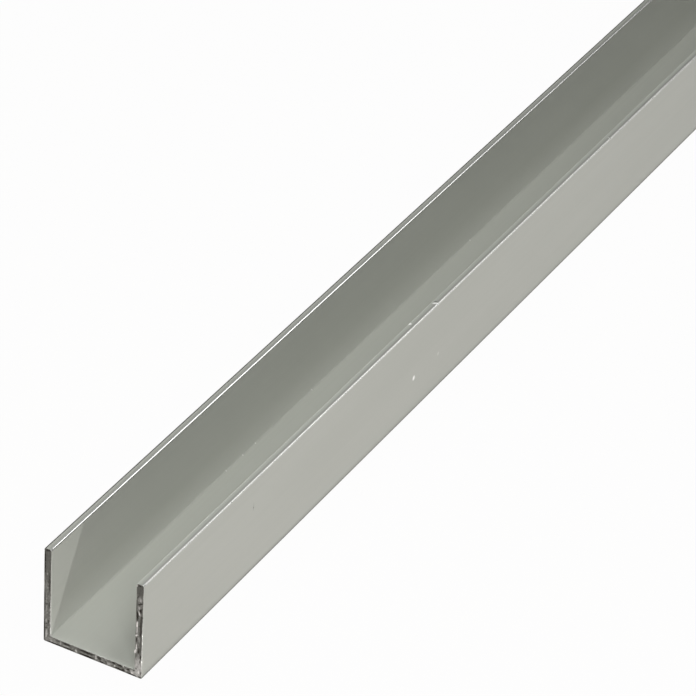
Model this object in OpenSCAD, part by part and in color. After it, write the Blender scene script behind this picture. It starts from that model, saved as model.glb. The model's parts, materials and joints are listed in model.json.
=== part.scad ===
// Extruded aluminium U-channel: one straight bar of constant section, sawn square at both ends.
// The bar lies on the back of its web with the slot facing up. X runs across the section,
// Y along the bar and Z up, with the origin under the middle of the web.

/* [Bar] */
// Sold length of the bar, from one sawn end to the other
bar_length = 1000; // [100:50:3000]

/* [Section] */
// Width across the outside faces of the two flanges
channel_width = 20; // [12:0.5:60]
// Height from the back of the web to the tips of the flanges
channel_height = 20; // [8:0.5:60]
// Thickness of the web
web_thickness = 1.5; // [1:0.1:4]
// Thickness of each flange
flange_thickness = 1.5; // [1:0.1:4]

/* [Edges] */
// Radius of the two outside corners, where the web turns into the flanges
outer_corner_radius = 0.3; // [0.1:0.05:0.9]
// Fillet radius of the two inside corners of the slot
inner_fillet_radius = 0.4; // [0.1:0.05:1.5]
// Radius of the two edges of each flange tip
tip_edge_radius = 0.4; // [0.1:0.05:0.45]

/* [Finish] */
// Colour of the satin anodised skin
finish_colour = "#b0afa8"; // [#b0afa8:Silver, #c9b27c:Champagne, #3a3a3c:Black]

/* [Hidden] */

// Facets shown on one full turn of the small edge arcs
$fn = 64;

half_width = channel_width / 2;
half_slot = half_width - flange_thickness;

// Draws its children on the right of the section and mirrored on the left
module both_sides() {
    children();
    mirror([1, 0]) children();
}

// The wedge between an arc and the square corner that it rounds, with the corner at the
// origin and the two straight sides along +x and +y. It is cut from an outside corner
// and added to an inside one.
module corner_wedge(radius) {
    difference() {
        square(radius);
        translate([radius, radius]) circle(radius);
    }
}

// The right-hand flange, with both edges of its tip rounded
module flange_section() {
    difference() {
        translate([half_slot, 0]) square([flange_thickness, channel_height]);
        translate([half_width, channel_height]) rotate(180)
            corner_wedge(tip_edge_radius);
        translate([half_slot, channel_height]) rotate(270)
            corner_wedge(tip_edge_radius);
    }
}

// The whole die section: web, flanges, inside fillets and rounded outside corners
module channel_section() {
    difference() {
        union() {
            translate([-half_width, 0]) square([channel_width, web_thickness]);
            both_sides() {
                flange_section();
                translate([half_slot, web_thickness]) rotate(90)
                    corner_wedge(inner_fillet_radius);
            }
        }
        both_sides()
            translate([half_width, 0]) rotate(90)
                corner_wedge(outer_corner_radius);
    }
}

// The bar itself: the die section carried straight along Y
module u_channel() {
    color(finish_colour)
        rotate([90, 0, 0])
            linear_extrude(height = bar_length, center = true)
                channel_section();
}

u_channel();
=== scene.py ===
"""Dresses a one-metre bar of satin anodised U-channel and lights it on a pale table.

The bar lies along Y on the back of its web, as packed. The sawn end that the camera looks at
is the near end, at the low end of Y. Lengths are in metres.
"""

import json
import logging
import math
from dataclasses import dataclass, field, replace
from enum import Enum

import bpy
import numpy as np
from mathutils import Matrix, Vector, noise

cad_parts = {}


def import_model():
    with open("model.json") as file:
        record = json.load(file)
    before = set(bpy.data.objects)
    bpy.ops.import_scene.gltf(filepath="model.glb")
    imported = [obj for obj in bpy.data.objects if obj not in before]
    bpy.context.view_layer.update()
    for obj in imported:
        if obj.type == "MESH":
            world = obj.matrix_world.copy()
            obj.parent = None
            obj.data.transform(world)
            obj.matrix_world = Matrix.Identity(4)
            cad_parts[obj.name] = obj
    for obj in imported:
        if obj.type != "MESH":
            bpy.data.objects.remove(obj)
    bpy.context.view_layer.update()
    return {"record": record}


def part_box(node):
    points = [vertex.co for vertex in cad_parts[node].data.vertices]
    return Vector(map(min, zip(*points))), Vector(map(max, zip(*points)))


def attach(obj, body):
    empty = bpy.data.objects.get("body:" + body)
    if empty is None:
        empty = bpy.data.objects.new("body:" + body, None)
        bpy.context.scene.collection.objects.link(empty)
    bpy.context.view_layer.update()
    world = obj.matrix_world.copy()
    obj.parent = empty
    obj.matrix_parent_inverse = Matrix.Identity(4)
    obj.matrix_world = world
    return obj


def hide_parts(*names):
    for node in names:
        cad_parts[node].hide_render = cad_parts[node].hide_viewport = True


LOGGER = logging.getLogger("u_channel")
MM = 0.001
BODY = "root"
NODE = "u_channel"
MARK_RINGS = 17
MARK_RING_REACH = 1.1
MARK_POINT_REACH = 1.3
TEAR_FIRMNESS = 1.5
FULL_RANGE = (0.0, 1.0)

Colour = tuple[float, float, float]
Place = tuple[float, float, float]


class End(Enum):
    """The two sawn ends of the bar, by the way that each faces along Y."""

    NEAR = -1
    FAR = 1


class Surface(Enum):
    """The two finishes on the bar, by their material slot."""

    SKIN = 0
    SAWN = 1


class Wall(Enum):
    """The three walls of the section."""

    LEFT = "left flange"
    WEB = "web"
    RIGHT = "right flange"


def arc(centre: tuple[float, float], radius: float, start: float, end: float, steps: int) -> np.ndarray:
    """Samples an arc of the section, with its last point left to the next stretch.

    Args:
        centre: Centre of the arc, across and up.
        radius: Radius of the arc.
        start: Angle of the first point, in degrees from +X towards +Z.
        end: Angle where the arc ends.
        steps: Number of equal steps.

    Returns:
        One row of x and z for each point.
    """
    turn = np.radians(np.linspace(start, end, steps + 1)[:-1])
    return np.column_stack((centre[0] + radius * np.cos(turn), centre[1] + radius * np.sin(turn)))


def straight(start: tuple[float, float], end: tuple[float, float], steps: int) -> np.ndarray:
    """Samples a straight stretch of the section, with its last point left to the next one.

    Args:
        start: First point, across and up.
        end: Point where the stretch ends.
        steps: Number of equal steps.

    Returns:
        One row of x and z for each point.
    """
    share = np.linspace(0.0, 1.0, steps + 1)[:-1, None]
    return np.asarray(start) * (1.0 - share) + np.asarray(end) * share


def grain(places: np.ndarray, grain_size: Place, offset: float) -> np.ndarray:
    """Reads a smooth repeatable noise at many places.

    Args:
        places: Points as rows of up to three coordinates.
        grain_size: Size of one grain along each coordinate.
        offset: Shift that makes one use of the noise unlike another.

    Returns:
        One number from about -1 to 1 for each place.
    """
    flat = places.reshape(-1, places.shape[-1]) / np.asarray(grain_size)[: places.shape[-1]]
    filled = np.column_stack((flat, np.full((len(flat), 3 - flat.shape[1]), 0.5))) + offset
    return np.array([noise.noise(Vector(p)) for p in filled]).reshape(places.shape[:-1])


@dataclass(frozen=True)
class DieSection:
    """The U-shaped section that the die leaves, with x across and z up.

    The section is laid out as a grid: columns run round the U from the left tip to the right
    tip, and rows run through the wall from the outside to the inside.
    """

    width: float
    height: float
    wall: float
    outside_radius: float = 0.3 * MM
    inside_fillet: float = 0.4 * MM
    tip_radius: float = 0.4 * MM
    flat_steps: int = 180
    arc_steps: int = 8
    tip_flat_steps: int = 10
    tip_reach: float = 1.2 * MM

    @property
    def half_slot(self) -> float:
        """Half of the clear width between the flanges."""
        return self.width / 2 - self.wall

    def outer_path(self) -> np.ndarray:
        """Walks the outside: down the left flange, along the web's back and up the right flange.

        Returns:
            One row of x and z for each column of the grid.
        """
        half = self.width / 2
        tip = self.tip_radius
        low = self.outside_radius
        top = self.height - tip
        eighth = self.arc_steps // 2
        return np.vstack((
            arc((tip - half, top), tip, 135, 180, eighth),
            straight((-half, top), (-half, low), self.flat_steps),
            arc((low - half, low), low, 180, 270, self.arc_steps),
            straight((low - half, 0.0), (half - low, 0.0), self.flat_steps),
            arc((half - low, low), low, 270, 360, self.arc_steps),
            straight((half, low), (half, top), self.flat_steps),
            arc((half - tip, top), tip, 0, 45, eighth),
            arc((half - tip, top), tip, 45, 90, 1),
        ))

    def inner_path(self) -> np.ndarray:
        """Walks the slot's faces, point for point beside the outer path.

        Returns:
            One row of x and z for each column of the grid.
        """
        slot = self.half_slot
        tip = self.tip_radius
        fillet = self.inside_fillet
        top = self.height - tip
        low = self.wall + fillet
        eighth = self.arc_steps // 2
        return np.vstack((
            arc((-slot - tip, top), tip, 45, 0, eighth),
            straight((-slot, top), (-slot, low), self.flat_steps),
            arc((fillet - slot, low), fillet, 180, 270, self.arc_steps),
            straight((fillet - slot, self.wall), (slot - fillet, self.wall), self.flat_steps),
            arc((slot - fillet, low), fillet, 270, 360, self.arc_steps),
            straight((slot, low), (slot, top), self.flat_steps),
            arc((slot + tip, top), tip, 180, 135, eighth),
            arc((slot + tip, top), tip, 135, 90, 1),
        ))

    def tip_path(self) -> np.ndarray:
        """Walks over the left tip, from the middle of its outer edge to that of its inner edge.

        Returns:
            One row of x and z for each row of the grid.
        """
        half = self.width / 2
        slot = self.half_slot
        tip = self.tip_radius
        top = self.height - tip
        eighth = self.arc_steps // 2
        return np.vstack((
            arc((tip - half, top), tip, 135, 90, eighth),
            straight((tip - half, self.height), (-slot - tip, self.height), self.tip_flat_steps),
            arc((-slot - tip, top), tip, 90, 45, eighth),
            arc((-slot - tip, top), tip, 45, 0, 1),
        ))

    def across(self) -> np.ndarray:
        """Shares of the wall at the rows, closest together at both faces."""
        rows = 2 * (self.arc_steps // 2) + self.tip_flat_steps
        return (1.0 - np.cos(np.linspace(0.0, math.pi, rows + 1))) / 2

    def along(self) -> np.ndarray:
        """Distances of the columns from the left tip, along the middle of the wall.

        Returns:
            One distance in metres for each column.
        """
        middle = (self.outer_path() + self.inner_path()) / 2
        steps = np.linalg.norm(np.diff(middle, axis=0), axis=1)
        return np.concatenate(([0.0], np.cumsum(steps)))

    def grid(self, inset: float) -> np.ndarray:
        """Fills the section with points.

        Args:
            inset: How far the edge of the grid stays inside the true outline.

        Returns:
            Points by column, row and then x and z.
        """
        squeeze = inset / self.wall
        share = (squeeze + self.across() * (1.0 - 2.0 * squeeze))[None, :, None]
        grid = self.outer_path()[:, None] * (1.0 - share) + self.inner_path()[:, None] * share
        tip = self.tip_path()
        middle = self.wall / 2 - self.width / 2
        tip[:, 0] = middle + (tip[:, 0] - middle) * (1.0 - 2.0 * squeeze)
        tip[:, 1] -= inset
        bulge = tip - grid[0]
        along = self.along()
        left = np.clip(1.0 - along / self.tip_reach, 0.0, 1.0)[:, None, None]
        right = np.clip(1.0 - (along[-1] - along) / self.tip_reach, 0.0, 1.0)[:, None, None]
        return grid + left * bulge + right * bulge * np.array([-1.0, 1.0])

    def rim(self) -> np.ndarray:
        """Numbers of the grid's edge points, once round, against the clock seen from the near end.

        Returns:
            One number for each rim point.
        """
        columns = len(self.outer_path())
        rows = len(self.across())
        number = np.arange(columns * rows).reshape(columns, rows)
        return np.concatenate((number[:-1, 0], number[-1, :-1], number[:0:-1, -1], number[0, :0:-1]))

    def outline(self, inset: float) -> np.ndarray:
        """Gives the edge of the grid as a loop of x and z.

        Args:
            inset: How far the loop stays inside the true outline.

        Returns:
            One row of x and z for each rim point.
        """
        return self.grid(inset).reshape(-1, 2)[self.rim()]


@dataclass(frozen=True)
class Mark:
    """A small nick, chip or speck on the skin, placed by its distance from the near end.

    A lift above zero stands proud and one below zero is a dent. A pale mark is a dry scrape, and a
    dark mark is dirt on a speck and painted shade in a nick's dent; the pale lip of a nick is partly
    bare metal, partly a painted glint. The slant leans the mark along the bar as it goes across.
    """

    along: float
    across: float
    up: float
    half_length: float
    half_width: float
    lift: float = 0.0
    scuff_and_painted_light: float = 0.0
    dirt_and_shade: float = 0.0
    slant: float = 0.0

    def weight(self, points: np.ndarray, near: float) -> np.ndarray:
        """Says how strongly the mark touches each point.

        Args:
            points: Rows of x, y and z.
            near: Where the near end is on Y.

        Returns:
            One number from 0 to 1 for each point.
        """
        aside = points[:, 0] - self.across
        ahead = points[:, 1] - near - self.along - self.slant * aside
        beside = (aside ** 2 + (points[:, 2] - self.up) ** 2) / self.half_width ** 2
        return np.clip(1.0 - beside - ahead ** 2 / self.half_length ** 2, 0.0, 1.0) ** 0.5

    def stations(self, near: float) -> np.ndarray:
        """Gives the extra rings that the mark's shape needs, along Y."""
        reach = self.half_length + abs(self.slant) * self.half_width
        return near + self.along + np.linspace(-MARK_RING_REACH, MARK_RING_REACH, MARK_RINGS) * reach


# The nicks are dented: the dark in each dent is painted shade, and the pale on each raised lip is partly
# bare metal, partly a painted glint.
NICKS = (
    Mark(105.25 * MM, 9.20 * MM, 20.0 * MM, 0.34 * MM, 0.40 * MM, lift=-0.06 * MM, dirt_and_shade=0.45, slant=0.3),
    Mark(104.70 * MM, 9.50 * MM, 20.0 * MM, 0.36 * MM, 0.62 * MM, lift=0.05 * MM, scuff_and_painted_light=1.0, slant=0.6),
    Mark(178.70 * MM, 9.60 * MM, 20.0 * MM, 0.28 * MM, 0.35 * MM, lift=-0.05 * MM, dirt_and_shade=0.4),
    Mark(178.35 * MM, 9.60 * MM, 20.0 * MM, 0.18 * MM, 0.35 * MM, lift=0.03 * MM, scuff_and_painted_light=0.7),
    Mark(95.80 * MM, 8.75 * MM, 19.9 * MM, 0.40 * MM, 0.42 * MM, lift=0.03 * MM, scuff_and_painted_light=1.0),
)
FACE_SPECKS = (
    Mark(96.54 * MM, 10.0 * MM, 7.85 * MM, 0.50 * MM, 0.60 * MM, lift=0.03 * MM, scuff_and_painted_light=1.0),
    Mark(106.22 * MM, 10.0 * MM, 7.99 * MM, 0.34 * MM, 0.45 * MM, lift=0.02 * MM, scuff_and_painted_light=0.25),
    Mark(36.74 * MM, 10.0 * MM, 14.07 * MM, 0.20 * MM, 0.20 * MM, lift=0.02 * MM, dirt_and_shade=0.5),
)
FILLET_SPECKS = tuple(
    Mark(along * MM, -8.38 * MM, 1.62 * MM, 0.18 * MM, 0.20 * MM, lift=0.03 * MM, scuff_and_painted_light=0.5)
    for along in (58.9, 64.9, 69.5, 90.6, 154.8)
)


@dataclass(frozen=True)
class Tear:
    """A patch on the cut face, with its lengths in millimetres: mostly left by the saw, some a painted
    glint or painted shade.

    Along counts up from the floor on a flange and from the left on the web, and through counts
    inwards from the outside face. Light above zero is bare bright metal, partly a painted glint, and
    below zero a dark tear, partly painted shade. Slant leans the patch along the wall as it goes inwards,
    and lean bends it into the slot.
    """

    wall: Wall
    along: float
    through: float
    half_along: float
    half_through: float
    light: float
    slant: float = 0.0
    lean: float = 0.0

    def weight(self, along: np.ndarray, through: np.ndarray) -> np.ndarray:
        """Says how strongly the patch covers each place on its wall.

        Args:
            along: Places along the wall, in millimetres.
            through: Places through the wall, in millimetres.

        Returns:
            One number from 0 to 1 for each place.
        """
        aside = through - self.through
        ahead = along - self.along - self.slant * aside
        gap = (ahead / self.half_along) ** 2 + (aside / self.half_through) ** 2
        return np.clip(TEAR_FIRMNESS * (1.0 - gap), 0.0, 1.0)


def tears_on(wall: Wall, *patches: tuple[float, ...]) -> tuple[Tear, ...]:
    """Lists the patches of one wall.

    Args:
        wall: The wall that they lie on.
        patches: Each patch's along, through, two half sizes and light, then any slant and lean.

    Returns:
        The patches in the order that they are laid over each other.
    """
    return tuple(Tear(wall, *patch) for patch in patches)


LEFT_TEARS = tears_on(
    Wall.LEFT,
    (17.0, 0.80, 4.3, 1.10, -0.22),
    (17.0, 0.17, 3.1, 0.20, -1.00),
    (19.65, 0.80, 0.25, 0.60, -0.75, 0.3),
    (15.0, 0.72, 0.9, 0.16, 0.06),
    (12.9, 1.10, 2.5, 0.24, -0.60),
    (12.3, 0.62, 0.7, 0.22, 0.12, 0.8),
    (12.8, 0.30, 0.6, 0.14, -0.35),
    (11.0, 0.60, 0.7, 0.22, 0.10),
    (9.0, 0.52, 0.7, 0.16, 0.12),
    (8.2, 1.10, 0.70, 0.20, -0.50),
    (8.2, 0.60, 0.16, 0.35, -0.45, 0.5),
    (7.3, 0.58, 0.7, 0.20, 0.16),
    (8.6, 0.15, 2.9, 0.15, -0.90),
    (4.6, 0.55, 0.55, 0.18, 0.26),
    (4.5, 1.00, 0.55, 0.18, -0.60),
    (1.8, 0.60, 1.2, 0.26, 0.36),
    (3.0, 0.55, 0.16, 0.40, -0.50, 0.5),
    (3.9, 0.60, 0.14, 0.35, -0.45, 0.5),
    (2.6, 0.16, 3.0, 0.15, -0.95),
    (4.8, 1.45, 7.0, 0.24, 0.26),
)
WEB_TEARS = tears_on(
    Wall.WEB,
    (2.0, 0.75, 2.2, 0.70, 0.12),
    (9.5, 1.50, 8.6, 0.16, 0.36),
    (1.7, 0.60, 0.40, 0.20, 0.35),
    (2.9, 1.08, 0.6, 0.20, -0.50),
    (2.2, 0.24, 2.0, 0.16, -0.90),
    (4.7, 1.08, 1.0, 0.22, -0.85),
    (4.7, 0.66, 0.9, 0.14, 0.34),
    (5.0, 0.27, 1.5, 0.17, -0.90),
    (3.5, 0.85, 0.14, 0.55, 0.35),
    (8.7, 1.06, 1.9, 0.26, -0.85),
    (8.7, 0.66, 1.6, 0.10, 0.10),
    (8.8, 0.30, 1.9, 0.22, -1.00),
    (6.7, 0.55, 0.22, 0.32, 0.50, -0.3),
    (10.75, 0.85, 0.25, 0.50, 0.32),
    (11.4, 0.95, 0.5, 0.40, -0.75),
    (11.9, 0.28, 0.5, 0.18, -1.00),
    (13.3, 0.62, 0.6, 0.30, 0.30),
    (12.8, 0.62, 0.14, 0.40, -0.75, -0.3),
    (14.3, 1.14, 0.40, 0.22, -1.00),
    (15.5, 1.08, 0.6, 0.24, -0.95),
    (15.4, 0.28, 1.0, 0.20, -1.00),
    (14.5, 0.58, 0.22, 0.22, 0.65),
    (16.3, 1.28, 0.16, 0.26, 0.50),
    (16.8, 0.66, 0.35, 0.16, 0.70),
    (16.25, 0.38, 0.40, 0.24, -1.00),
    (18.6, 0.80, 1.1, 0.60, 0.36),
    (17.25, 0.98, 0.3, 0.20, -0.95),
    (18.1, 0.64, 0.32, 0.16, 0.70),
    (18.5, 1.32, 0.16, 0.28, -0.45, 0.9),
    (18.4, 0.24, 1.7, 0.16, -0.85),
)
RIGHT_TEARS = tears_on(
    Wall.RIGHT,
    (2.0, 0.75, 2.9, 0.95, 0.36),
    (18.9, 0.80, 1.6, 1.00, -0.34),
    (6.5, 0.02, 7.0, 0.20, 0.34),
    (6.9, 0.38, 1.9, 0.20, -0.35),
    (11.0, 0.42, 2.7, 0.28, -0.62),
    (9.4, 0.60, 0.6, 0.14, -0.75),
    (13.0, 0.27, 0.45, 0.15, -0.95),
    (14.5, 0.50, 0.60, 0.24, -0.95),
    (13.2, 1.18, 1.2, 0.26, -0.90),
    (15.2, 1.38, 1.8, 0.10, -0.55),
    (13.8, 0.76, 0.40, 0.20, 0.80, 2.2),
    (15.0, 0.85, 0.38, 0.28, 0.26, -0.6),
    (15.85, 0.62, 0.18, 0.55, -0.90, -0.6),
    (16.7, 0.70, 0.55, 0.35, 0.24),
    (17.25, 1.10, 0.20, 0.30, -0.70, -1.6),
    (19.6, 0.85, 0.20, 0.45, -0.75, -0.3),
    # A pale patch at the right tip's inner corner: a painted highlight.
    (19.5, 1.36, 0.25, 0.14, 0.55),
    (10.2, 1.15, 1.2, 0.14, 0.50),
    (11.4, 1.17, 0.70, 0.17, 1.00),
    (9.05, 1.22, 0.20, 0.32, 0.80, -0.8),
    (8.1, 1.26, 0.60, 0.14, -0.90),
    (8.2, 0.75, 0.70, 0.14, 0.30),
    (5.85, 0.75, 0.75, 0.24, -0.80),
    (4.6, 0.36, 0.55, 0.18, -0.95),
    (6.6, 1.22, 0.70, 0.14, 0.60),
    (5.5, 1.34, 0.42, 0.28, 1.00, -1.2, 0.16),
    (1.25, 0.68, 0.40, 0.16, 0.80),
    (3.6, 0.42, 0.55, 0.14, -0.35),
    (1.9, 1.22, 0.16, 0.14, -0.35),
    (1.2, 0.27, 0.30, 0.10, -0.40),
    (0.3, 0.50, 0.16, 0.40, -0.60, 0.4),
    (3.7, 0.14, 0.50, 0.12, 0.60),
    (9.5, 0.10, 0.35, 0.12, 0.70),
)


@dataclass
class MeshStore:
    """Collects one piece's points and faces before Blender makes the mesh."""

    points: list[np.ndarray] = field(default_factory=list)
    shine: list[np.ndarray] = field(default_factory=list)
    scuff_and_painted_light: list[np.ndarray] = field(default_factory=list)
    dirt_and_shade: list[np.ndarray] = field(default_factory=list)
    cut: list[np.ndarray] = field(default_factory=list)
    faces: list[list[int]] = field(default_factory=list)
    places: list[tuple[float, float]] = field(default_factory=list)
    surfaces: list[int] = field(default_factory=list)
    count: int = 0

    def add_points(
        self,
        points: np.ndarray,
        shine: np.ndarray,
        scuff_and_painted_light: np.ndarray,
        dirt_and_shade: np.ndarray,
        cut: np.ndarray,
    ) -> np.ndarray:
        """Adds points with what the finishes need to know about them.

        Args:
            points: Rows of x, y and z.
            shine: How bare and bright the metal is at each point, partly a painted highlight on the
                lamp-side top edges and a painted glint on the sawn faces.
            scuff_and_painted_light: How pale and dry the metal is at each point, from scuffs and from
                painted light just above the web.
            dirt_and_shade: How dark each point is, from dirt and from painted shade.
            cut: Place on the sawn face: round the U, through the wall and out of it.

        Returns:
            The numbers of the new points.
        """
        numbers = np.arange(self.count, self.count + len(points))
        self.points.append(points)
        self.shine.append(shine)
        self.scuff_and_painted_light.append(scuff_and_painted_light)
        self.dirt_and_shade.append(dirt_and_shade)
        self.cut.append(cut)
        self.count += len(points)
        return numbers

    def add_face(self, corners: list[int], places: list[tuple[float, float]], surface: Surface) -> None:
        """Adds one face.

        Args:
            corners: Numbers of its points.
            places: Place of each corner on the flat map.
            surface: Finish that the face wears.
        """
        self.faces.append(corners)
        self.places.extend(places)
        self.surfaces.append(surface.value)

    def to_object(self, name: str, crease: float) -> bpy.types.Object:
        """Makes the mesh and puts it in the scene.

        Args:
            name: Name of the piece.
            crease: Angle between faces above which an edge stays sharp, in radians.

        Returns:
            The new object.
        """
        mesh = bpy.data.meshes.new(name)
        mesh.from_pydata(np.vstack(self.points).tolist(), [], self.faces)
        mesh.polygons.foreach_set("material_index", self.surfaces)
        mesh.polygons.foreach_set("use_smooth", [True] * len(self.faces))
        for title, values in (("shine", self.shine), ("scuff_and_painted_light", self.scuff_and_painted_light), ("dirt_and_shade", self.dirt_and_shade)):
            layer = mesh.attributes.new(title, "FLOAT", "POINT")
            layer.data.foreach_set("value", np.concatenate(values).astype(np.float32))
        layer = mesh.attributes.new("cut", "FLOAT_VECTOR", "POINT")
        layer.data.foreach_set("vector", np.vstack(self.cut).astype(np.float32).ravel())
        flat_map = mesh.uv_layers.new(name="OFBake")
        flat_map.data.foreach_set("uv", np.array(self.places, np.float32).ravel())
        mesh.set_sharp_from_angle(angle=crease)
        mesh.update()
        piece = bpy.data.objects.new(name, mesh)
        bpy.context.scene.collection.objects.link(piece)
        return piece


@dataclass(frozen=True)
class Roughing:
    """One use of the noise on the sawn face: its grain round the U and through the wall, and its shift."""

    along: float
    through: float
    shift: float


@dataclass(frozen=True)
class SawnEnd:
    """One sawn end: a torn face with bright and dark patches, partly painted glints and painted shade, and
    a softened edge.
    """

    section: DieSection
    end: End
    place: float
    tears: tuple[Tear, ...] = LEFT_TEARS + WEB_TEARS + RIGHT_TEARS
    edge_round: float = 0.07 * MM
    edge_depth: float = 0.12 * MM
    tear_height: float = 0.06 * MM
    wave_depth: float = 0.05 * MM
    pit_depth: float = 0.03 * MM
    ragged: float = 0.12
    ragged_width: float = 0.30
    mottle: float = 0.25
    along_bend: Roughing = Roughing(0.40 * MM, 0.30 * MM, 3.0)
    through_bend: Roughing = Roughing(0.50 * MM, 0.25 * MM, 5.0)
    specks: Roughing = Roughing(0.45 * MM, 0.22 * MM, 1.0)
    waves: Roughing = Roughing(2.2 * MM, 1.6 * MM, 7.0)
    pits: Roughing = Roughing(0.24 * MM, 0.18 * MM, 9.0)
    near_shift: float = 7.3
    far_shift: float = 31.9
    edge_rings: tuple[tuple[float, float], ...] = ((0.3, 0.3), (0.0, 1.0))
    map_margin: float = 0.005
    map_width: float = 0.99
    near_band: float = 0.92
    far_band: float = 0.96

    def surface_places(self) -> np.ndarray:
        """Gives each grid point's place on the sawn face: round the U and through the wall.

        Returns:
            Places in metres, by column, row and then along and through.
        """
        along = self.section.along()
        across = self.section.across() * self.section.wall
        return np.stack(np.meshgrid(along, across, indexing="ij"), axis=-1)

    def grain(self, use: Roughing) -> np.ndarray:
        """Reads the noise over the sawn face.

        Args:
            use: Grain sizes and shift of this use of the noise.

        Returns:
            Numbers from about -1 to 1, by column and row.
        """
        shift = self.near_shift if self.end is End.NEAR else self.far_shift
        return grain(self.surface_places(), (use.along, use.through), shift + use.shift)

    def wall_places(self, wall: Wall) -> tuple[np.ndarray, np.ndarray]:
        """Measures the grid points from one wall's own corner.

        Args:
            wall: The wall to measure from.

        Returns:
            Places along the wall and through it, in millimetres.
        """
        grid = self.section.grid(self.edge_round) / MM
        half = self.section.width / 2 / MM
        if wall is Wall.WEB:
            return grid[..., 0] + half, grid[..., 1]
        side = -1.0 if wall is Wall.LEFT else 1.0
        return grid[..., 1], half - side * grid[..., 0]

    def tear_weights(self) -> list[tuple[Tear, np.ndarray]]:
        """Pairs each patch with how strongly it covers each grid point, with ragged edges.

        Returns:
            Each patch and its cover; thin patches are less ragged, so that they stay whole.
        """
        along_bend = self.grain(self.along_bend)
        through_bend = self.grain(self.through_bend)
        pairs = []
        for tear in self.tears:
            along, through = self.wall_places(tear.wall)
            bend = self.ragged * min(1.0, min(tear.half_along, tear.half_through) / self.ragged_width)
            pairs.append((tear, tear.weight(along + bend * along_bend, through + bend * through_bend)))
        return pairs

    def light(self) -> np.ndarray:
        """Gives the tone of each grid point: 1 is bare and bright, 0 is plain and -1 is black. The bright
        and dark ends are partly painted glints and painted shade.

        Returns:
            One tone for each point, by column and row.
        """
        value = np.zeros(self.surface_places().shape[:2])
        for tear, weight in self.tear_weights():
            value = value * (1.0 - weight) + tear.light * weight
        speck = self.mottle * self.grain(self.specks)
        return np.clip(value + speck, -1.0, 1.0)

    def lean(self) -> np.ndarray:
        """Gives how far each grid point bends into the slot, in metres to the right."""
        sides = {Wall.LEFT: MM, Wall.WEB: 0.0, Wall.RIGHT: -MM}
        return sum(sides[tear.wall] * tear.lean * weight for tear, weight in self.tear_weights())

    def relief(self) -> np.ndarray:
        """Gives how far each grid point stands out of the sawn plane, in metres.

        Returns:
            One height for each point, by column and row.
        """
        wave = self.grain(self.waves) * self.wave_depth
        pit = self.grain(self.pits) * self.pit_depth
        return wave + pit + self.light() * self.tear_height

    def add_face_points(self, store: MeshStore) -> np.ndarray:
        """Adds the points of the sawn face.

        Args:
            store: Mesh under way.

        Returns:
            Numbers of the points, by column and row.
        """
        grid = self.section.grid(self.edge_round)
        relief = self.relief()
        light = self.light().ravel()
        points = np.empty(grid.shape[:2] + (3,))
        points[..., 0] = grid[..., 0] + self.lean()
        points[..., 1] = self.place + self.end.value * relief
        points[..., 2] = grid[..., 1]
        cut = np.concatenate((self.surface_places(), relief[..., None]), axis=-1)
        shine = np.clip(light, 0.0, 1.0)
        dirt_and_shade = np.clip(-light, 0.0, 1.0)
        scuff_and_painted_light = np.zeros(len(light))
        numbers = store.add_points(points.reshape(-1, 3), shine, scuff_and_painted_light, dirt_and_shade, cut.reshape(-1, 3))
        return numbers.reshape(grid.shape[:2])

    def add_faces(self, store: MeshStore, numbers: np.ndarray) -> None:
        """Joins the points of the sawn face, which has its own band on the flat map.

        Args:
            store: Mesh under way.
            numbers: Numbers of the points, by column and row.
        """
        along = self.section.along()
        scale = self.map_width / along[-1]
        band = self.near_band if self.end is End.NEAR else self.far_band
        across = band + self.section.across() * self.section.wall * scale
        flat = self.map_margin + along * scale
        for c in range(len(along) - 1):
            for r in range(len(across) - 1):
                turn = [(c, r), (c + 1, r), (c + 1, r + 1), (c, r + 1)]
                if self.end is End.FAR:
                    turn.reverse()
                corners = [int(numbers[spot]) for spot in turn]
                store.add_face(corners, [(flat[i], across[j]) for i, j in turn], Surface.SAWN)


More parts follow.
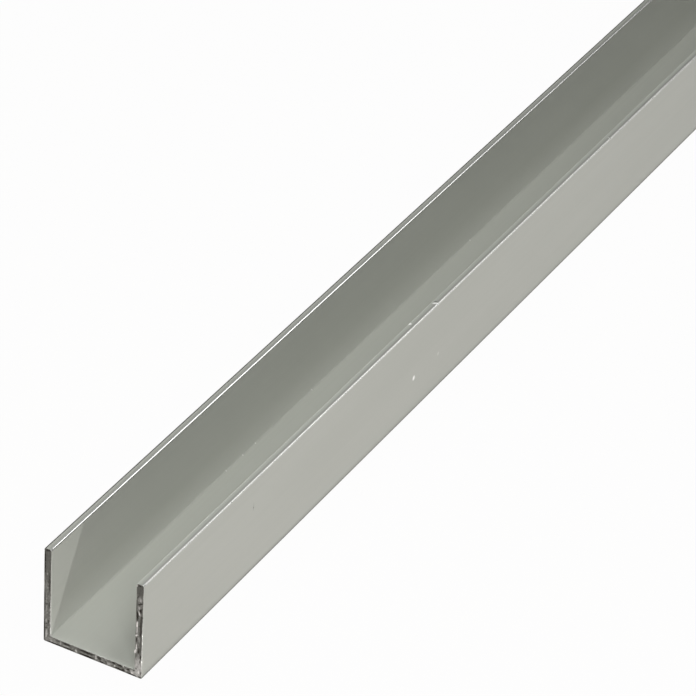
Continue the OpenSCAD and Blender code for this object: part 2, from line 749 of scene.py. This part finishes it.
@dataclass(frozen=True)
class ChannelBar:
    """The bar: its extruded skin, its marks and its two sawn ends, in one closed mesh."""

    section: DieSection
    near: float
    far: float
    marks: tuple[Mark, ...]
    tile_rows: int = 3
    ring_gap: float = 20.0 * MM
    flat_gap: int = 10
    crease: float = math.radians(40.0)
    map_top: float = 0.9
    tile_margin: float = 0.01
    end_margin: float = 0.8 * MM
    kept_bend: float = math.radians(1.0)
    tip_facing: float = 0.9
    edge_shade_fade: float = 0.6
    outer_wear_highlight: float = 0.7
    inner_wear_highlight: float = 1.0
    edge_painted_shade: float = 0.95
    foot_height: float = 0.72 * MM
    fillet_painted_shade: float = 0.10
    tip_painted_shade: tuple[float, float] = (0.02, 0.40)
    lip_painted_shade: float = 0.70
    lip_share: float = 0.30
    right_lip_painted_shade: float = 0.06
    right_lip_share: float = 0.45
    wear_highlight_focus: float = 1.6
    inside_painted_light: float = 0.13
    inside_painted_light_height: float = 6.0 * MM

    def kept_points(self, loop: np.ndarray) -> np.ndarray:
        """Picks the outline points that run the whole length of the bar.

        The arcs keep all their points, and the flats keep a few and those that marks need.

        Args:
            loop: The outline as rows of x and z.

        Returns:
            Numbers of the kept points on the outline.
        """
        ahead = np.roll(loop, -1, axis=0) - loop
        heading = np.unwrap(np.arctan2(ahead[:, 1], ahead[:, 0]))
        bend = np.abs(np.diff(heading, prepend=heading[-1]))
        bend = np.minimum(bend, np.abs(bend - 2.0 * math.pi))
        keep = bend > self.kept_bend
        for shift in (1, 2):
            keep = keep | np.roll(keep, shift) | np.roll(keep, -shift)
        keep[:: self.flat_gap] = True
        for mark in self.marks:
            gap = np.hypot(loop[:, 0] - mark.across, loop[:, 1] - mark.up)
            keep |= gap < MARK_POINT_REACH * mark.half_width
        return np.flatnonzero(keep)

    def stations(self, margin: float) -> np.ndarray:
        """Gives the places of the rings along Y, closer together at the marks.

        Args:
            margin: Distance of the first and last ring from the ends.

        Returns:
            Places in rising order.
        """
        tiles = np.linspace(self.near, self.far, self.tile_rows ** 2 + 1)[1:-1]
        even = np.arange(self.near + self.ring_gap, self.far, self.ring_gap)
        fine = [mark.stations(self.near) for mark in self.marks]
        ends = [self.near + margin, self.far - margin]
        places = np.unique(np.concatenate((tiles, even, ends, *fine)).round(7))
        return places[(places >= ends[0]) & (places <= ends[1])]

    def ring(self, store: MeshStore, loop: np.ndarray, place: float) -> np.ndarray:
        """Adds one ring of the skin, with the marks worked into it.

        Args:
            store: Mesh under way.
            loop: The ring's outline as rows of x and z.
            place: Where the ring is on Y.

        Returns:
            Numbers of the ring's points.
        """
        points = np.column_stack((loop[:, 0], np.full(len(loop), place), loop[:, 1]))
        around = np.roll(loop, -1, axis=0) - np.roll(loop, 1, axis=0)
        around /= np.linalg.norm(around, axis=1)[:, None]
        outward = np.column_stack((around[:, 1], np.zeros(len(loop)), -around[:, 0]))
        corner = np.abs(2.0 * outward[:, 0] * outward[:, 2])
        top = loop[:, 1] > self.section.height / 2
        outside = loop[:, 0] * outward[:, 0] > 0.0
        # The top edges on the lamp side are bare bright metal, partly worn and partly a painted highlight;
        # the outer edges on the far side get painted shade below.
        rubbed_lamp_side = top & (outward[:, 0] > 0.0)
        inwards = (np.abs(loop[:, 0]) - self.section.half_slot) / self.section.wall
        rightwards = np.where(loop[:, 0] > 0.0, inwards, 1.0 - inwards)
        tip = top & (outward[:, 2] > self.tip_facing)
        wear_highlight = np.where(outside, self.outer_wear_highlight, self.inner_wear_highlight)
        shine = wear_highlight * corner ** self.wear_highlight_focus * rubbed_lamp_side
        # Painted shade: a dark band along the bottom of the outside, and dark outer edges on the side away
        # from the lamps.
        foot_shade = np.clip(1.0 - loop[:, 1] / self.foot_height, 0.0, 1.0) * outside
        edge = corner ** self.edge_shade_fade * (outside & ~rubbed_lamp_side)
        dirt_and_shade = self.edge_painted_shade * np.maximum(edge, foot_shade)
        # Painted shade on the tip faces: a light darkening all over, more beside the highlight, along the
        # left tip's outer edge and on the right tip's inner side.
        lip = np.clip(1.0 - rightwards / self.lip_share, 0.0, 1.0) * (loop[:, 0] < 0.0)
        dirt_and_shade += (self.tip_painted_shade[0] + self.tip_painted_shade[1] * rightwards ** 2 + self.lip_painted_shade * lip) * tip
        right_lip = np.clip(1.0 - rightwards / self.right_lip_share, 0.0, 1.0) * (loop[:, 0] > 0.0)
        dirt_and_shade += self.right_lip_painted_shade * right_lip * tip
        # Painted shade in the inside fillets.
        dirt_and_shade += self.fillet_painted_shade * corner * ~(outside | top)
        # Painted light: the inner walls are paler just above the web, standing in for light bounced off
        # it.
        above_web = (loop[:, 1] - self.section.wall) / self.inside_painted_light_height
        scuff_and_painted_light = self.inside_painted_light * np.clip(1.0 - above_web, 0.0, 1.0) * outward[:, 0] ** 2 * ~outside
        moved = points.copy()
        for mark in self.marks:
            weight = mark.weight(points, self.near)
            moved += outward * (weight * mark.lift)[:, None]
            scuff_and_painted_light = np.maximum(scuff_and_painted_light, weight * mark.scuff_and_painted_light)
            dirt_and_shade = np.maximum(dirt_and_shade, weight * mark.dirt_and_shade)
        return store.add_points(moved, shine, scuff_and_painted_light, dirt_and_shade, np.zeros((len(loop), 3)))

    def map_places(self, share: np.ndarray, place: float, tile: int) -> list[tuple[float, float]]:
        """Finds a ring's places on the flat map, which lays the bar's length out in tiles.

        Args:
            share: Share of the way round the outline, one past the last point included.
            place: Where the ring is on Y.
            tile: Number of the tile that the face lies in.

        Returns:
            One place for each share.
        """
        side = 1.0 / self.tile_rows
        tile_length = (self.far - self.near) / self.tile_rows ** 2
        ahead = (place - self.near) / tile_length - tile
        row, column = divmod(tile, self.tile_rows)
        inner = 1.0 - 2.0 * self.tile_margin
        height = (row + self.tile_margin + inner * ahead) * side * self.map_top
        return [((column + self.tile_margin + inner * s) * side, height) for s in share]

    def join_rings(
        self,
        store: MeshStore,
        rings: tuple[np.ndarray, np.ndarray],
        places: tuple[float, float],
        share: np.ndarray,
    ) -> None:
        """Joins two rings with the same number of points by four-sided faces.

        Args:
            store: Mesh under way.
            rings: Numbers of the points of the two rings, the lower one on Y first.
            places: Where the rings are on Y.
            share: Share of the way round the outline, one past the last point included.
        """
        tile = self.tile_at(sum(places) / 2)
        first = self.map_places(share, places[0], tile)
        second = self.map_places(share, places[1], tile)
        near, far = (np.append(ring, ring[0]).tolist() for ring in rings)
        for k in range(len(near) - 1):
            corners = [near[k], far[k], far[k + 1], near[k + 1]]
            store.add_face(corners, [first[k], second[k], second[k + 1], first[k + 1]], Surface.SKIN)

    def tile_at(self, place: float) -> int:
        """Numbers the flat map's tile at a place on Y."""
        count = self.tile_rows ** 2
        return min(count - 1, max(0, int((place - self.near) / (self.far - self.near) * count)))

    def join_fine_to_plain(
        self,
        store: MeshStore,
        fine: tuple[np.ndarray, float],
        plain: tuple[np.ndarray, float],
        kept: np.ndarray,
        share: np.ndarray,
    ) -> None:
        """Joins a ring that has every outline point to one that has the kept points only.

        Args:
            store: Mesh under way.
            fine: Numbers of the full ring's points and its place on Y.
            plain: Numbers of the plain ring's points and its place on Y.
            kept: Numbers of the kept points on the outline.
            share: Share of the way round the full outline, one past the last point included.
        """
        tile = self.tile_at(plain[1])
        fine_map = self.map_places(share, fine[1], tile)
        plain_map = self.map_places(share, plain[1], tile)
        count = len(fine[0])
        stops = np.append(kept, kept[0] + count).tolist()
        for k in range(len(kept)):
            run = range(stops[k], stops[k + 1] + 1)
            corners = [int(fine[0][i % count]) for i in run]
            places = [fine_map[min(i, count)] for i in run]
            corners += [int(plain[0][(k + 1) % len(kept)]), int(plain[0][k])]
            places += [plain_map[min(stops[k + 1], count)], plain_map[min(stops[k], count)]]
            if plain[1] > fine[1]:
                corners.reverse()
                places.reverse()
            store.add_face(corners, places, Surface.SKIN)

    def add_end(self, store: MeshStore, sawn: SawnEnd, share: np.ndarray) -> tuple[np.ndarray, float]:
        """Adds a sawn end and the softened edge that leads from it to the skin.

        Args:
            store: Mesh under way.
            sawn: The end to add.
            share: Share of the way round the outline, one past the last point included.

        Returns:
            Numbers of the last ring's points and its place on Y.
        """
        unmarked = replace(self, marks=())
        numbers = sawn.add_face_points(store)
        sawn.add_faces(store, numbers)
        ring = numbers.reshape(-1)[self.section.rim()]
        last = sawn.place
        for inset, depth in sawn.edge_rings:
            spot = sawn.place - sawn.end.value * sawn.edge_depth * depth
            following = unmarked.ring(store, self.section.outline(sawn.edge_round * inset), spot)
            pair = (ring, following)
            spots = (last, spot)
            if sawn.end is End.FAR:
                pair = pair[::-1]
                spots = spots[::-1]
            self.join_rings(store, pair, spots, share)
            ring = following
            last = spot
        return ring, last

    def build(self) -> bpy.types.Object:
        """Builds the closed mesh of the bar.

        Returns:
            The bar's object.
        """
        store = MeshStore()
        loop = self.section.outline(0.0)
        steps = np.linalg.norm(np.roll(loop, -1, axis=0) - loop, axis=1)
        share = np.concatenate(([0.0], np.cumsum(steps))) / steps.sum()
        kept = self.kept_points(loop)
        kept_share = np.append(share[kept], 1.0)
        near_end = self.add_end(store, SawnEnd(self.section, End.NEAR, self.near), share)
        far_end = self.add_end(store, SawnEnd(self.section, End.FAR, self.far), share)
        stations = self.stations(self.end_margin)
        rings = [self.ring(store, loop[kept], place) for place in stations]
        for low, high, places in zip(rings, rings[1:], zip(stations, stations[1:])):
            self.join_rings(store, (low, high), places, kept_share)
        self.join_fine_to_plain(store, near_end, (rings[0], stations[0]), kept, share)
        self.join_fine_to_plain(store, far_end, (rings[-1], stations[-1]), kept, share)
        return store.to_object("channel_bar", self.crease)

    def dress(self, piece: bpy.types.Object) -> None:
        """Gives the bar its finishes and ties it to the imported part.

        Args:
            piece: The bar's object.
        """
        piece.data.materials.append(AnodisedSkin().material())
        piece.data.materials.append(SawnMetal().material())
        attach(piece, BODY)
        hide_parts(NODE)


class NodeBench:
    """Adds and links the nodes of one node tree."""

    def __init__(self, tree: bpy.types.NodeTree) -> None:
        """Starts from an empty tree."""
        self.tree = tree
        tree.nodes.clear()

    def add(self, kind: str, inputs: dict, **settings: object) -> bpy.types.Node:
        """Adds a node.

        Args:
            kind: Blender's name for the node.
            inputs: Numbers, colours or sockets for its inputs, by name or number.
            settings: Other options of the node.

        Returns:
            The new node.
        """
        made = self.tree.nodes.new(kind)
        for name, value in settings.items():
            setattr(made, name, value)
        for name, value in inputs.items():
            if isinstance(value, bpy.types.NodeSocket):
                self.tree.links.new(value, made.inputs[name])
            else:
                made.inputs[name].default_value = value
        return made

    def object_place(self) -> bpy.types.NodeSocket:
        """Gives the place on the bar in metres."""
        return self.add("ShaderNodeTexCoord", {}).outputs["Object"]

    def attribute(self, name: str, output: str) -> bpy.types.NodeSocket:
        """Reads a value that the mesh holds at its points."""
        return self.add("ShaderNodeAttribute", {}, attribute_name=name).outputs[output]

    def noise(
        self, place: bpy.types.NodeSocket, grain_size: Place, detail: float, lift: float = 0.5
    ) -> bpy.types.NodeSocket:
        """Adds a noise pattern with its own grain size along each axis.

        Args:
            place: Coordinates in metres.
            grain_size: Size of one grain along each axis.
            detail: Number of finer layers.
            lift: Strength of the finer layers.

        Returns:
            A socket from 0 to 1.
        """
        scale = tuple(1.0 / size for size in grain_size)
        sized = self.add("ShaderNodeVectorMath", {0: place, 1: scale}, operation="MULTIPLY")
        made = self.add(
            "ShaderNodeTexNoise",
            {"Vector": sized.outputs[0], "Scale": 1.0, "Detail": detail, "Roughness": lift},
        )
        return made.outputs["Fac"]

    def spread(
        self, value: bpy.types.NodeSocket, source: tuple[float, float], target: tuple[float, float]
    ) -> bpy.types.NodeSocket:
        """Maps one range of a value to another and stays within it.

        Args:
            value: Socket to map.
            source: Range to read.
            target: Range to give.

        Returns:
            The mapped socket.
        """
        inputs = {
            "Value": value,
            "From Min": source[0],
            "From Max": source[1],
            "To Min": target[0],
            "To Max": target[1],
        }
        return self.add("ShaderNodeMapRange", inputs).outputs["Result"]

    def math(
        self, operation: str, first: bpy.types.NodeSocket, second: bpy.types.NodeSocket | float
    ) -> bpy.types.NodeSocket:
        """Does one sum on two values.

        Args:
            operation: Blender's name for the sum.
            first: First value.
            second: Second value.

        Returns:
            The result.
        """
        return self.add("ShaderNodeMath", {0: first, 1: second}, operation=operation).outputs[0]

    def blend(
        self,
        share: bpy.types.NodeSocket,
        first: bpy.types.NodeSocket | Colour,
        second: bpy.types.NodeSocket | Colour,
    ) -> bpy.types.NodeSocket:
        """Blends two colours.

        Args:
            share: 0 for the first colour and 1 for the second.
            first: Colour or socket.
            second: Colour or socket.

        Returns:
            The blended colour.
        """
        sides = [c if isinstance(c, bpy.types.NodeSocket) else (*c, 1.0) for c in (first, second)]
        inputs = {0: share, 6: sides[0], 7: sides[1]}
        return self.add("ShaderNodeMix", inputs, data_type="RGBA").outputs[2]

    def mixture(
        self, first: bpy.types.NodeSocket, second: bpy.types.NodeSocket, first_share: float
    ) -> bpy.types.NodeSocket:
        """Adds two patterns by their shares.

        Args:
            first: First pattern.
            second: Second pattern.
            first_share: Share of the first one; the second has the rest.

        Returns:
            The mixed pattern.
        """
        scaled = self.math("MULTIPLY", first, first_share)
        return self.math("ADD", scaled, self.math("MULTIPLY", second, 1.0 - first_share))

    def bump(
        self, height: bpy.types.NodeSocket, depth: float, under: bpy.types.NodeSocket | None = None
    ) -> bpy.types.NodeSocket:
        """Turns a height pattern into a shading normal.

        Args:
            height: Pattern from 0 to 1.
            depth: Height of the pattern in metres.
            under: Normal that it is laid over.

        Returns:
            The normal.
        """
        inputs = {"Height": height, "Distance": depth, "Strength": 1.0}
        if under is not None:
            inputs["Normal"] = under
        return self.add("ShaderNodeBump", inputs).outputs["Normal"]

    def metal(
        self,
        colour: bpy.types.NodeSocket,
        roughness: bpy.types.NodeSocket,
        normal: bpy.types.NodeSocket,
        metallic: bpy.types.NodeSocket | float,
        specular: float,
    ) -> None:
        """Ends the tree in a metal surface.

        Args:
            colour: Colour of the metal.
            roughness: Roughness of the metal.
            normal: Shading normal.
            metallic: Share of metal in the surface.
            specular: Strength of the clear shine over the colour.
        """
        inputs = {
            "Base Color": colour,
            "Roughness": roughness,
            "Normal": normal,
            "Metallic": metallic,
            "Specular IOR Level": specular,
        }
        shader = self.add("ShaderNodeBsdfPrincipled", inputs)
        self.add("ShaderNodeOutputMaterial", {"Surface": shader.outputs[0]})


def new_material(name: str) -> tuple[bpy.types.Material, NodeBench]:
    """Starts a material.

    Args:
        name: Name of the finish.

    Returns:
        The material and the bench for its nodes.
    """
    made = bpy.data.materials.new(name)
    made.use_nodes = True
    return made, NodeBench(made.node_tree)


@dataclass(frozen=True)
class AnodisedSkin:
    """Satin anodised aluminium with fine die lines along the bar and a few bare specks, darkened by dirt
    and painted shade, paled by scuffs and painted light, and bare on the lamp-side edges as a partly
    painted highlight.
    """

    tone: Colour = (0.419, 0.430, 0.389)
    pale_tone: Colour = (0.441, 0.452, 0.411)
    # Bare metal on the lamp-side top edges, partly a painted highlight.
    bare_and_highlight_tone: Colour = (0.92, 0.92, 0.90)
    # Pale scuffs, and painted light on the inner walls just above the web.
    scuff_and_painted_light_tone: Colour = (0.95, 0.95, 0.93)
    # Dirt, and painted shade on the outer edges, the bottom of the outside, the tips, the fillets and the
    # nick dents.
    dirt_and_shade_tone: Colour = (0.055, 0.050, 0.045)
    roughness: tuple[float, float] = (0.42, 0.50)
    bare_roughness: float = 0.15
    dirt_and_shade_roughness: float = 0.95
    metallic: tuple[float, float] = (0.15, 1.0)
    specular: float = 0.25
    die_line_depth: float = 0.0012 * MM
    etch_depth: float = 0.0022 * MM
    cloud_grain: Place = (9 * MM, 60 * MM, 9 * MM)
    die_line_grain: Place = (0.22 * MM, 160 * MM, 0.22 * MM)
    etch_grain: Place = (0.10 * MM, 0.14 * MM, 0.10 * MM)
    fine_lift: float = 0.6
    cloud_share: float = 0.6
    tone_range: tuple[float, float] = (0.35, 0.65)
    etch_range: tuple[float, float] = (0.3, 0.7)
    metal_range: tuple[float, float] = (0.0, 0.5)

    def material(self) -> bpy.types.Material:
        """Builds the finish's material.

        Returns:
            The material.
        """
        made, bench = new_material("satin_anodised")
        place = bench.object_place()
        cloud = bench.noise(place, self.cloud_grain, 3.0)
        die_lines = bench.noise(place, self.die_line_grain, 2.0, self.fine_lift)
        etch = bench.noise(place, self.etch_grain, 2.0, self.fine_lift)
        mixed = bench.mixture(cloud, die_lines, self.cloud_share)
        tone = bench.blend(bench.spread(mixed, self.tone_range, FULL_RANGE), self.tone, self.pale_tone)
        shine = bench.attribute("shine", "Fac")
        dirt_and_shade = bench.attribute("dirt_and_shade", "Fac")
        # Dirt and painted shade darken the tone, scuffs and painted light pale it, and bare edges carry a
        # partly painted highlight.
        dirt_and_shade_colour = bench.blend(dirt_and_shade, tone, self.dirt_and_shade_tone)
        scuffed_and_lit = bench.blend(bench.attribute("scuff_and_painted_light", "Fac"), dirt_and_shade_colour, self.scuff_and_painted_light_tone)
        colour = bench.blend(shine, scuffed_and_lit, self.bare_and_highlight_tone)
        satin = bench.spread(etch, self.etch_range, self.roughness)
        bared = bench.math("MULTIPLY", shine, self.bare_roughness - self.roughness[0])
        matted = bench.math("MULTIPLY", dirt_and_shade, self.dirt_and_shade_roughness - self.roughness[1])
        roughness = bench.math("ADD", satin, bench.math("ADD", bared, matted))
        normal = bench.bump(etch, self.etch_depth, bench.bump(die_lines, self.die_line_depth))
        metallic = bench.spread(bench.math("MAXIMUM", shine, dirt_and_shade), self.metal_range, self.metallic)
        bench.metal(colour, roughness, normal, metallic, self.specular)
        return made


@dataclass(frozen=True)
class SawnMetal:
    """Bare sawn aluminium, dark and mottled as partly painted shade, with bright torn streaks that are
    partly painted glints and darker patches in the tears.
    """

    # The sawn face is darker than bare sawn aluminium: its dark and mid tones are partly painted shade.
    dark_tone: Colour = (0.110, 0.107, 0.094)
    mid_tone: Colour = (0.225, 0.218, 0.196)
    # Bright torn metal, partly a painted glint.
    torn_and_glint_tone: Colour = (0.95, 0.91, 0.87)
    dirt_and_shade_tone: Colour = (0.020, 0.0155, 0.012)
    roughness: tuple[float, float] = (0.48, 0.64)
    metallic: tuple[float, float] = (1.0, 0.2)
    specular: float = 0.5
    scratch_depth: float = 0.010 * MM
    broken: tuple[float, float] = (0.6, 1.4)
    mottle_grain: Place = (0.45 * MM, 0.20 * MM, 1.0)
    scratch_grain: Place = (1.4 * MM, 0.06 * MM, 1.0)
    mottle_lift: float = 0.65
    scratch_lift: float = 0.6
    mottle_share: float = 0.6
    tone_range: tuple[float, float] = (0.36, 0.64)
    mottle_range: tuple[float, float] = (0.3, 0.7)
    bright_range: tuple[float, float] = (0.6, 1.0)

    def material(self) -> bpy.types.Material:
        """Builds the finish's material.

        Returns:
            The material.
        """
        made, bench = new_material("sawn_metal")
        cut = bench.attribute("cut", "Vector")
        mottle = bench.noise(cut, self.mottle_grain, 3.0, self.mottle_lift)
        scratch = bench.noise(cut, self.scratch_grain, 2.0, self.scratch_lift)
        mixed = bench.mixture(mottle, scratch, self.mottle_share)
        tone = bench.blend(bench.spread(mixed, self.tone_range, FULL_RANGE), self.dark_tone, self.mid_tone)
        broken = bench.spread(mixed, self.tone_range, self.broken)
        dirt_and_shade = bench.math("MULTIPLY", bench.attribute("dirt_and_shade", "Fac"), broken)
        shine = bench.math("MULTIPLY", bench.attribute("shine", "Fac"), broken)
        colour = bench.blend(shine, bench.blend(dirt_and_shade, tone, self.dirt_and_shade_tone), self.torn_and_glint_tone)
        roughness = bench.spread(mottle, self.mottle_range, self.roughness)
        normal = bench.bump(scratch, self.scratch_depth)
        metallic = bench.spread(shine, self.bright_range, self.metallic)
        bench.metal(colour, roughness, normal, metallic, self.specular)
        return made


@dataclass(frozen=True)
class PaleTable:
    """The pale table top that the bar lies on, white to the eye and to the metal."""

    side: float = 60.0
    tone: Colour = (0.44, 0.39, 0.38)
    glow: Colour = (1.0, 1.0, 1.0)
    glow_share: float = 0.97

    def material(self) -> bpy.types.Material:
        """Builds the table's finish, which keeps part of the bar's shadow.

        Returns:
            The material.
        """
        made, bench = new_material("pale_table")
        path = bench.add("ShaderNodeLightPath", {})
        seen = path.outputs["Is Camera Ray"]
        for ray in ("Is Glossy Ray", "Is Transmission Ray"):
            seen = bench.math("MAXIMUM", seen, path.outputs[ray])
        share = bench.math("MULTIPLY", seen, self.glow_share)
        matt = bench.add("ShaderNodeBsdfDiffuse", {"Color": (*self.tone, 1.0)})
        glow = bench.add("ShaderNodeEmission", {"Color": (*self.glow, 1.0), "Strength": 1.0})
        mixed = bench.add("ShaderNodeMixShader", {0: share, 1: matt.outputs[0], 2: glow.outputs[0]})
        bench.add("ShaderNodeOutputMaterial", {"Surface": mixed.outputs[0]})
        return made

    def build(self) -> bpy.types.Object:
        """Lays the table top under the bar.

        Returns:
            The table's object.
        """
        half = self.side / 2
        corners = [(-half, -half, 0.0), (half, -half, 0.0), (half, half, 0.0), (-half, half, 0.0)]
        mesh = bpy.data.meshes.new("table_top")
        mesh.from_pydata(corners, [], [(0, 1, 2, 3)])
        mesh.materials.append(self.material())
        table = bpy.data.objects.new("table_top", mesh)
        bpy.context.scene.collection.objects.link(table)
        return table


@dataclass(frozen=True)
class StudioRoom:
    """The dim, even light of the room, a little greener overhead."""

    low: Colour = (0.120, 0.120, 0.120)
    overhead: Colour = (0.120, 0.124, 0.120)
    height_range: tuple[float, float] = (0.1, 0.9)

    def light(self) -> None:
        """Sets the world's light."""
        world = bpy.data.worlds.new("studio_room")
        world.use_nodes = True
        bench = NodeBench(world.node_tree)
        heading = bench.add("ShaderNodeTexCoord", {}).outputs["Generated"]
        height = bench.add("ShaderNodeSeparateXYZ", {0: heading}).outputs["Z"]
        share = bench.spread(height, self.height_range, FULL_RANGE)
        colour = bench.blend(share, self.low, self.overhead)
        sky = bench.add("ShaderNodeBackground", {"Color": colour, "Strength": 1.0})
        bench.add("ShaderNodeOutputWorld", {"Surface": sky.outputs[0]})
        bpy.context.scene.world = world


@dataclass(frozen=True)
class SoftBox:
    """A soft rectangular white lamp, placed from the middle of the near end.

    A spread below a half turn puts a grid before the lamp, which keeps its light from the sides.
    """

    name: str
    centre: Place
    aim: Place
    size: tuple[float, float]
    brightness: float
    spread: float = math.pi

    def light(self, near: float) -> bpy.types.Object:
        """Hangs the lamp.

        Args:
            near: Where the near end is on Y.

        Returns:
            The lamp's object.
        """
        lamp = bpy.data.lights.new(self.name, "AREA")
        lamp.shape = "RECTANGLE"
        lamp.size = self.size[0]
        lamp.size_y = self.size[1]
        lamp.energy = self.brightness * math.pi * self.size[0] * self.size[1]
        lamp.spread = self.spread
        made = bpy.data.objects.new(self.name, lamp)
        made.location = Vector(self.centre) + Vector((0.0, near, 0.0))
        heading = Vector(self.aim) - Vector(self.centre)
        made.rotation_euler = heading.to_track_quat("-Z", "Y").to_euler()
        made.visible_camera = False
        bpy.context.scene.collection.objects.link(made)
        return made


@dataclass(frozen=True)
class UnderTableLamp:
    """A lamp under the table, which shines up through it as a light table does."""

    name: str
    heading: Place
    strength: float
    spread: float = math.radians(2.0)

    def light(self, bar: bpy.types.Object) -> bpy.types.Object:
        """Sets the lamp so that only the bar shades it.

        Args:
            bar: The bar's object.

        Returns:
            The lamp's object.
        """
        lamp = bpy.data.lights.new(self.name, "SUN")
        lamp.energy = self.strength
        lamp.angle = self.spread
        made = bpy.data.objects.new(self.name, lamp)
        made.rotation_euler = Vector(self.heading).to_track_quat("-Z", "Y").to_euler()
        bpy.context.scene.collection.objects.link(made)
        shades = bpy.data.collections.new("shades_the_table_lamp")
        shades.objects.link(bar)
        made.light_linking.blocker_collection = shades
        return made


@dataclass(frozen=True)
class PhotoCamera:
    """The camera at the photograph's viewing angle, aimed from the middle of the near end."""

    azimuth: float = math.radians(27.46)
    elevation: float = math.radians(33.557)
    roll: float = math.radians(-3.44)
    lens: float = 205.64
    sensor: float = 36.0
    distance: float = 751.33 * MM
    aim: Place = (-3.81 * MM, 95.68 * MM, 10.0 * MM)

    def place(self, near: float) -> bpy.types.Object:
        """Sets the camera up and makes it the scene's own.

        Args:
            near: Where the near end is on Y.

        Returns:
            The camera's object.
        """
        level = math.cos(self.elevation)
        back = Vector((
            math.sin(self.azimuth) * level,
            -math.cos(self.azimuth) * level,
            math.sin(self.elevation),
        ))
        right = (-back).cross(Vector((0.0, 0.0, 1.0))).normalized()
        up = right.cross(-back)
        tilted_right = math.cos(self.roll) * right - math.sin(self.roll) * up
        tilted_up = math.sin(self.roll) * right + math.cos(self.roll) * up
        lens = bpy.data.cameras.new("photo_camera")
        lens.lens = self.lens
        lens.sensor_width = self.sensor
        lens.sensor_fit = "HORIZONTAL"
        made = bpy.data.objects.new("photo_camera", lens)
        turned = Matrix((tilted_right, tilted_up, back)).transposed().to_4x4()
        spot = Vector(self.aim) + Vector((0.0, near, 0.0)) + back * self.distance
        made.matrix_world = Matrix.Translation(spot) @ turned
        bpy.context.scene.collection.objects.link(made)
        bpy.context.scene.camera = made
        return made


NEAR_MIDDLE = (0.0, 0.0, 0.01)
SOFT_BOXES = (
    SoftBox("key_light", (0.29, -0.44, 0.53), NEAR_MIDDLE, (0.30, 0.30), 8.5),
    SoftBox("front_light", (0.15, -0.50, 0.53), NEAR_MIDDLE, (0.30, 0.30), 3.5),
    SoftBox("right_light", (0.24, 0.0, 0.46), NEAR_MIDDLE, (0.20, 0.20), 8.7),
    SoftBox("left_light", (-0.14, 0.0, 0.50), NEAR_MIDDLE, (0.20, 0.20), 5.5),
    SoftBox("edge_light", (0.43, 0.66, 0.43), (0.0, 0.1, 0.01), (0.30, 0.30), 2.7),
    SoftBox("far_edge_light", (0.43, 1.01, 0.43), (0.0, 1.01, 0.01), (0.22, 0.26), 0.7),
)
FILL_BOXES = (
    SoftBox("left_fill", (-0.90, 0.50, 0.15), (0.0, 0.5, 0.01), (1.10, 0.28), 5.0),
    SoftBox("far_key", (0.28, 0.78, 0.52), (0.0, 0.78, 0.01), (0.40, 0.30), 0.9, math.radians(60.0)),
    SoftBox("end_fill", (0.10, 1.35, 0.50), (0.0, 1.0, 0.0), (0.30, 0.30), 0.6, math.radians(50.0)),
)
TABLE_LAMP = UnderTableLamp("table_lamp", (-0.625, 0.378, 0.68), 1.12)


def slot_floor_height(record: dict) -> float:
    """Reads how high the slot's floor lies, which is the thickness of the wall.

    Args:
        record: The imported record.

    Returns:
        The height in metres.
    """
    return next(mount["pos_m"][2] for mount in record["mounts"] if mount["name"] == "slot_floor")


def main() -> None:
    """Builds, dresses and lights the bar in order, and reports each piece."""
    logging.basicConfig(level=logging.INFO, format="%(name)s: %(message)s")
    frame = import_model()
    bpy.context.scene.view_settings.view_transform = "Standard"
    low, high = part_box(NODE)
    section = DieSection(high.x - low.x, high.z - low.z, slot_floor_height(frame["record"]))
    camera = PhotoCamera().place(low.y)
    LOGGER.info("%s looks from %s", camera.name, tuple(round(v, 4) for v in camera.location))
    bar = ChannelBar(section, low.y, high.y, NICKS + FACE_SPECKS + FILLET_SPECKS)
    piece = bar.build()
    bar.dress(piece)
    mesh = piece.data
    LOGGER.info("%s has %d points and %d faces", piece.name, len(mesh.vertices), len(mesh.polygons))
    table = PaleTable().build()
    LOGGER.info("%s lies under the bar", table.name)
    StudioRoom().light()
    for box in SOFT_BOXES + FILL_BOXES:
        LOGGER.info("%s is lit", box.light(low.y).name)
    LOGGER.info("%s is lit", TABLE_LAMP.light(piece).name)


if __name__ == "__main__":
    main()
